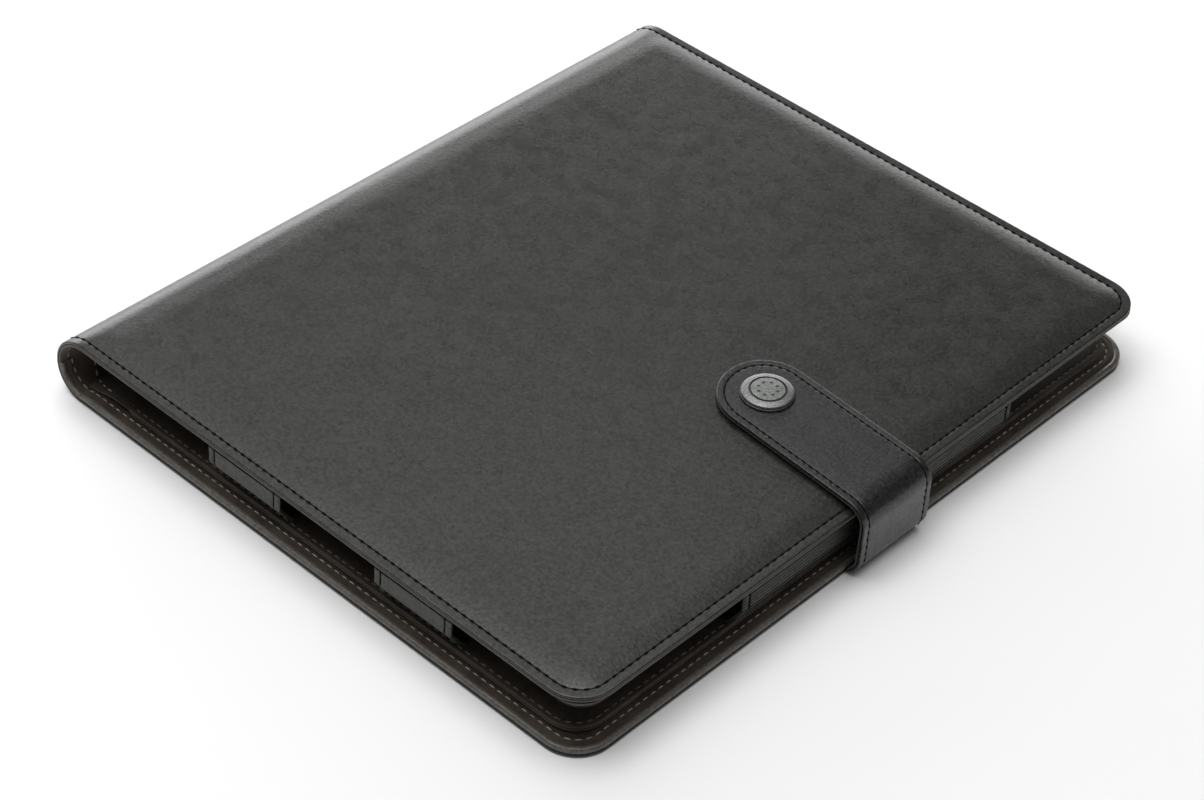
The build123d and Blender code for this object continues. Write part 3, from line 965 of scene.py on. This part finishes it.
def tab_section(low, high, reach, foot_edge):
    """(reach, z) points round a tab seen from its end: wall, lean under the tablet and foot."""
    lean_top = page_high.z + 7.4 * MM
    face = reach - 0.1 * MM
    steps = 16
    outside = []
    for k in range(steps + 1):
        t = k / steps
        outside.append((face - 0.12 * MM * math.sin(math.pi * t), high.z - (high.z - lean_top) * t))
    for k in range(1, steps + 1):
        t = k / steps
        bulge = 0.25 * MM * math.sin(math.pi * t)
        outside.append((face + (foot_edge - reach) * t + bulge, lean_top + (low.z - lean_top) * t))
    inside = [
        (foot_edge - 2.9 * MM, low.z),
        (foot_edge - 2.9 * MM, low.z + TAB_WALL),
        (foot_edge - 0.7 * MM, low.z + TAB_WALL),
        (reach - TAB_WALL, lean_top + 0.3 * MM),
        (reach - TAB_WALL, high.z),
    ]
    return outside, inside


def tab(node, along, out, foot_edge, flutes=0):
    """Leather tab that holds the tablet's edge, with a pressed line near each end, coloured near black as
    painted shade in its groove.

    along is the direction of its width and out the way it faces, each (x, y). flutes are the
    parallel lines that run along the upper half of a long tab.
    """
    low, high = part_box(node)
    along, out = Vector((*along, 0)), Vector((*out, 0))
    centre = (low + high) / 2
    half = abs((high - low).dot(along)) / 2 / MM
    reach = max(low.dot(out), high.dot(out))
    outside, inside = tab_section(low, high, reach, foot_edge)
    steps_in = sorted(TAB_STEPS) + [4.0 + 2.5 * k for k in range(int((half - 4.0) / 2.5) + 1)]
    spots = sorted({round(side * (half - d), 3) for d in steps_in for side in (-1, 1)})
    base = Vector((centre.x, centre.y, 0)) - out * centre.dot(out)
    rows = []
    for spot in spots:
        from_end = half - abs(spot)
        pressed = 0.34 * MM * bell(from_end, TAB_LINE, 0.28) + 0.28 * MM * (1 - smooth(from_end / 0.5))
        station = base + along * spot * MM
        row = []
        for index, (r, z) in enumerate(outside):
            top_line = 0.7 * MM * bell(index, 2.0, 0.6)
            fluted = 0.4 * MM * (index % 3 == 0 and 2 < index <= 3 * flutes)
            row.append(station + out * (r - pressed - top_line - fluted) + Vector((0, 0, z)))
        row += [station + out * r + Vector((0, 0, z)) for r, z in inside]
        rows.append(row)
    # the pressed lines take the dark look as painted shade in their grooves
    lines = [1 if abs(half - abs(spot) - TAB_LINE) < 0.3 else 0 for spot in spots]
    piece = weave(node + "_panel", rows, lines, [TAB_GREY, PRESSED_LINE_SHADE], loop=True)
    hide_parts(node)
    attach(piece, "back")


def make_tabs():
    """Two tabs on each short side and a long one on the strap's side."""
    for place in ("spine", "strap"):
        tab(f"tab_near_{place}", (1, 0), (0, -1), SHORT_TAB_FOOT)
        tab(f"tab_far_{place}", (-1, 0), (0, 1), SHORT_TAB_FOOT)
    tab("tab_long_side", (0, 1), (1, 0), LONG_TAB_FOOT, flutes=5)


# ---- strap and snap ----

STRAP_SEAM = 2.3 * MM
STRAP_STITCH = 0.27 * MM
STRAP_THICK = 1.7 * MM
TAIL_THICK = 0.6 * MM
SNAP_DOTS = 8


def strap_thickness(s):
    """Thin under the back cover, then full thickness from its edge on."""
    past_edge = past(STRAP.at(s)[0], EDGE_X + 0.2 * MM, 2.2 * MM) if s < STRAP_MIDDLE else 1.0
    return TAIL_THICK + (STRAP_THICK - TAIL_THICK) * past_edge


def on_tail(s):
    """1 along the tail, which lies on the ground, and 0 from the bend on."""
    return 1 - past(STRAP.at(s)[1], 0.3 * MM, 2 * MM) if s < STRAP_MIDDLE else 0.0


def strap_outer(s, w, inset):
    """Outer face: crowned on the upper half, and off the ground along the tail."""
    crown = 0.1 * MM - 0.12 * MM * past(inset, 2.6 * MM, 5 * MM) if s > STRAP_MIDDLE else 0.0
    soft = 0.05 * MM * wobble(STRAP.at(s)[0] + s, w, 9 * MM, 12)
    return groove(inset, STRAP_SEAM, 0.1 * MM) + crown + 0.22 * MM * on_tail(s) + max(0.0, soft)


def strap_seam_depth(s, w, inset):
    """Depth of the seam: on the leather, but sunk a little along the tail."""
    return strap_outer(s, w, inset) + 0.12 * MM * on_tail(s)


def strap_split(s, w, inset):
    """Where the leather ends."""
    return 0.52 * strap_thickness(s) + 0.14 * MM * on_tail(s)


def strap_split_low(s, w, inset):
    """Where the lining begins."""
    return 0.58 * strap_thickness(s) + 0.13 * MM * on_tail(s)


def strap_inner(s, w, inset):
    """Inner face, flat."""
    return strap_thickness(s)


def strap_part(name, cut, tip, corner, replaced_outer, replaced_inner):
    """Leather, lining and seam of one half of the strap, with a thinner rim on the tail's half."""
    upper = tip > cut
    rows = side_rows(abs(tip - cut) - corner, 26 * MM if upper else 34 * MM, 0.7 * MM, 2.2 * MM)

    def layer(part, outer, inner, looks, rim, shown, line=None):
        return strip(
            name + part, STRAP, cut, tip, STRAP_HALF, corner, rows, 1.5 * MM, outer, inner, looks,
            marks=(STRAP_SEAM / MM,), rim=rim, step=1.6 * MM, shift=strap_shift, shown=shown, line=line,
        )

    # the seam's pressed line is near black as painted shade in its groove
    skin_looks = [STRAP_BLACK] * 4 + [PRESSED_LINE_SHADE]
    skin_rim = 0.36 * MM if upper else 0.12 * MM
    skin = layer("_leather", strap_outer, strap_split, skin_looks, skin_rim, "outer", STRAP_SEAM)
    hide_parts(*replaced_outer)
    # the lining's rim is dark as painted shade between the strap's layers
    lining_looks = [STRAP_BLACK, CORE_EDGE_SHADE, STRAP_BLACK]
    lining_rim = 0.3 * MM if upper else 0.1 * MM
    lining = layer("_lining", strap_split_low, strap_inner, lining_looks, lining_rim, "inner")
    if replaced_inner:
        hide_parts(*replaced_inner)
    seam = sew_route(
        name + "_seam", STRAP, cut, tip, STRAP_HALF, corner, STRAP_SEAM, strap_seam_depth, -1, BLACK_THREAD,
        STRAP_STITCH, pitch=2.6 * MM, shift=strap_shift, rows=rows,
    )
    for piece in (skin, lining, seam):
        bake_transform(piece)


def make_strap():
    """Strap of two halves that meet in the middle of its side run."""
    strap_part(
        "strap_lower", STRAP_MIDDLE, 0.0, 3 * MM, ("strap_tail", "strap_side_outer"), ("strap_side_lining",),
    )
    strap_part(
        "strap_upper", STRAP_MIDDLE, STRAP.length, STRAP_HALF, ("strap_top_outer",), ("strap_top_lining",),
    )


def revolve(name, x, y, profile, slots, looks, turns=96):
    """Round piece about (x, y) from (radius, height) points, closed at the axis."""
    angles = [2 * math.pi * k / turns for k in range(turns)]
    rows = [[around(x, y, radius, angle, z) for angle in angles] for radius, z in profile]
    return weave(name, rows, slots, looks, loop=True)


def make_snap():
    """Pewter cap with an engraved ring of dots, on a dark rim."""
    cap_radius = (cap_high.x - cap_low.x) / 2
    rim_radius = (rim_high.x - rim_low.x) / 2
    base = rim_low.z - 0.1 * MM
    crown = cap_high.z
    shoulder = rim_high.z + 0.55 * MM
    ring_radius = 5.3 * MM

    def dome(radius):
        return shoulder + (crown - shoulder) * (1 - (radius / cap_radius) ** 2) ** 0.5

    edge = [(-0.8 * MM, base), (0.0, base + 0.2 * MM), (0.0, shoulder - 0.3 * MM)]
    profile = [(cap_radius + out, z) for out, z in edge]
    slots = [0, 0, 0]
    outer = [cap_radius * r for r in (0.985, 0.96, 0.92, 0.87, 0.8, 0.74)]
    engraved = [ring_radius + d * MM for d in (0.34, 0.26, 0.0, -0.26, -0.34)]
    inner = [r * MM for r in (4.4, 3.6, 2.6, 1.5, 0.5)]
    for radius in outer + engraved + inner:
        dip = 0.28 * MM if abs(radius - ring_radius) < 0.3 * MM else 0.0
        profile.append((radius, dome(radius) - dip))
        slots.append(1 if abs(radius - ring_radius) < 0.35 * MM and radius > ring_radius - 0.3 * MM else 0)
    cap = revolve("snap_button", CAP_X, CAP_Y, profile, slots, [PEWTER, DARK_METAL])
    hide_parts("snap_cap")
    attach(cap, "strap_top")
    rim_profile = [
        (rim_radius - 0.9 * MM, rim_low.z),
        (rim_radius - 0.15 * MM, rim_low.z),
        (rim_radius, rim_low.z + 0.15 * MM),
        (rim_radius, rim_high.z - 0.25 * MM),
        (rim_radius - 0.25 * MM, rim_high.z),
        (cap_radius - 0.9 * MM, rim_high.z),
    ]
    rim = revolve("snap_rim", CAP_X, CAP_Y, rim_profile, [0] * 6, [DARK_METAL])
    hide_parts("cap_rim")
    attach(rim, "strap_top")
    dot_place = 2.9 * MM
    z = dome(dot_place)
    dot_shape = [(r * MM, z + h * MM) for r, h in ((0.62, -0.12), (0.5, 0.035), (0.3, 0.06), (0.1, 0.07))]
    for k in range(SNAP_DOTS):
        turn = 2 * math.pi * (k + 0.5) / SNAP_DOTS
        x = CAP_X + dot_place * math.cos(turn)
        y = CAP_Y + dot_place * math.sin(turn)
        dot = revolve(f"snap_dot_{k + 1}", x, y, dot_shape, [0] * 4, [DARK_METAL], turns=20)
        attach(dot, "strap_top")


# ---- inner CAD pieces ----


def dress(node, look):
    """Give a carried-over CAD node a material of its own."""
    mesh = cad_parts[node].data
    mesh.materials.clear()
    mesh.materials.append(look)
    for face in mesh.polygons:
        face.material_index = 0


def dress_inner_pieces():
    """Materials for the nodes that are shown as they are."""
    for node in ("back_board", "page_board", "front_board", "frame_card", "strap_top_card"):
        dress(node, BOARD)
    dress("front_foam", FOAM)
    for node in ("snap_rivet", "snap_stud", "snap_socket"):
        dress(node, PEWTER)


# ---- stage, light and camera ----


def make_floor():
    """Pale ground that reaches well past the case, just under it."""
    item, shader, place = material("pale_floor", 0.7, specular=0.1)
    patches = texture_noise(place, scale=3, detail=2)
    colour = ramp(patches, (0.9, 0.9, 0.9), (0.92, 0.92, 0.92))
    connect(colour, "Color", shader, "Base Color")
    reach = 6.0
    corners = [(-reach, -reach, 0), (reach, -reach, 0), (reach, reach, 0), (-reach, reach, 0)]
    floor = new_mesh("floor", corners, [(0, 1, 2, 3)], [item])
    floor.location.z = -0.02 * MM


def area_light(name, width, height, power):
    """Soft rectangular light that looks straight down."""
    light = bpy.data.lights.new(name, "AREA")
    light.shape = "RECTANGLE"
    light.size = width
    light.size_y = height
    light.energy = power
    obj = bpy.data.objects.new(name, light)
    bpy.context.scene.collection.objects.link(obj)
    return obj


def aim_at_case(obj, azimuth, elevation, distance):
    """Put a light in a direction from the case and turn it to the case."""
    way = direction(azimuth, elevation)
    obj.location = way * distance
    obj.rotation_euler = (-way).to_track_quat("-Z", "Y").to_euler()


# the studio's brightness by elevation in degrees: a dim room under a lit ceiling
SKY_BANDS = [(0, 0.06), (39, 0.03), (54, 0.05), (62, 0.30), (70, 1.0)]
SKY_STRENGTH = 2.85
# over the far left side, and close, so that the near part of the case mirrors it most
SOFT_BOX_PLACE = (-0.484, 0.137, 0.70)


def make_light():
    """Banded sky, a key light, a light on the backdrop and a soft box."""
    world = bpy.data.worlds.new("studio")
    world.use_nodes = True
    tree = world.node_tree
    place = tree.nodes.new("ShaderNodeTexCoord")
    parts = tree.nodes.new("ShaderNodeSeparateXYZ")
    connect(place, "Generated", parts, "Vector")
    sky = tree.nodes.new("ShaderNodeValToRGB")
    bands = sky.color_ramp.elements
    for index, (elevation, level) in enumerate(SKY_BANDS):
        stop = bands[index] if index < 2 else bands.new(1.0)
        stop.position = math.sin(math.radians(elevation))
        stop.color = (level, level, level, 1)
    connect(parts, "Z", sky, "Fac")
    connect(sky, "Color", tree.nodes["Background"], "Color")
    set_inputs(tree.nodes["Background"], {"Strength": SKY_STRENGTH})
    bpy.context.scene.world = world
    key = area_light("key_light", width=0.9, height=0.9, power=7)
    aim_at_case(key, azimuth=320, elevation=68, distance=1.8)
    backdrop = area_light("backdrop_light", width=3.4, height=0.8, power=28)
    aim_at_case(backdrop, azimuth=235, elevation=12.5, distance=1.8)
    soft_box = area_light("soft_box", width=0.85, height=0.84, power=2.2)
    soft_box.location = SOFT_BOX_PLACE
    soft_box.rotation_euler.z = math.radians(CAMERA_AZIMUTH)
    bpy.context.scene.view_settings.view_transform = "Standard"


# the camera, solved from the shape: where it looks, how far away it is and how it is turned
CAMERA_TARGET = Vector((-0.8, -10.9, 0.0)) * MM
CAMERA_AZIMUTH = 40.79
CAMERA_ELEVATION = 40.27
CAMERA_ROLL = 4.02
CAMERA_DISTANCE = 877.4 * MM
CAMERA_LENS = 88.3


def make_camera():
    """Camera at its solved place, turned about its line of sight."""
    ahead = -direction(CAMERA_AZIMUTH, CAMERA_ELEVATION)
    level = direction(CAMERA_AZIMUTH + 90, 0)
    roll = math.radians(CAMERA_ROLL)
    upright = level.cross(ahead)
    right = math.cos(roll) * level + math.sin(roll) * upright
    up = math.cos(roll) * upright - math.sin(roll) * level
    data = bpy.data.cameras.new("camera")
    data.lens = CAMERA_LENS
    data.sensor_width = 36.0
    data.clip_start = 0.01
    obj = bpy.data.objects.new("camera", data)
    turn = Matrix((right, up, -ahead)).transposed().to_4x4()
    obj.matrix_world = Matrix.Translation(CAMERA_TARGET - ahead * CAMERA_DISTANCE) @ turn
    bpy.context.scene.collection.objects.link(obj)
    bpy.context.scene.camera = obj


# ---- build ----

make_back_cover()
make_front_cover()
make_page()
make_page_leaf()
make_frame()
make_tabs()
make_strap()
make_snap()
dress_inner_pieces()
make_floor()
make_light()
make_camera()

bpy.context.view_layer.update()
